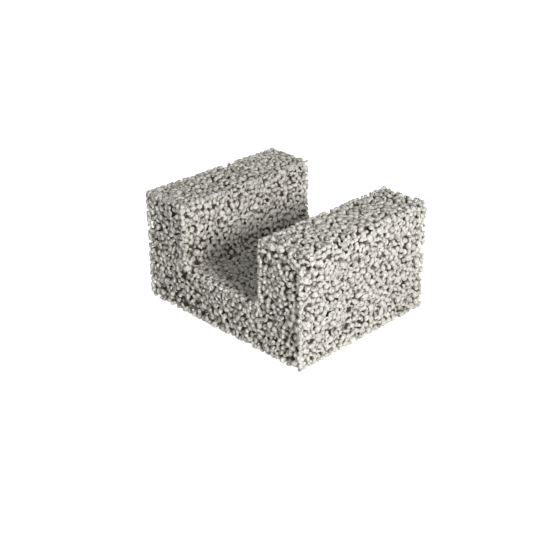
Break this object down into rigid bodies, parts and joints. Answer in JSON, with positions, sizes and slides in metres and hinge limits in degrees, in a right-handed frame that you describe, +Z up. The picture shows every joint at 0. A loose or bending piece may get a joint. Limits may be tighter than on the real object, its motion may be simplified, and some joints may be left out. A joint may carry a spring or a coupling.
{
  "type": "concrete channel block",
  "caption": "U-shaped channel block of open-textured lightweight aggregate concrete, with a through trough for bars and infill, laid in a wall as a lintel or ring-beam course.",
  "frame": {"origin": "middle of the flat bed face that the block stands on", "axes": "+Z up from the bed face to the wall tops, +Y along the trough, +X across the two walls"},
  "size_m": [0.35, 0.29, 0.19],
  "materials": {
    "concrete": "matte"
  },
  "bodies": {
    "root": {"channel_block": "concrete"}
  },
  "joints": []
}
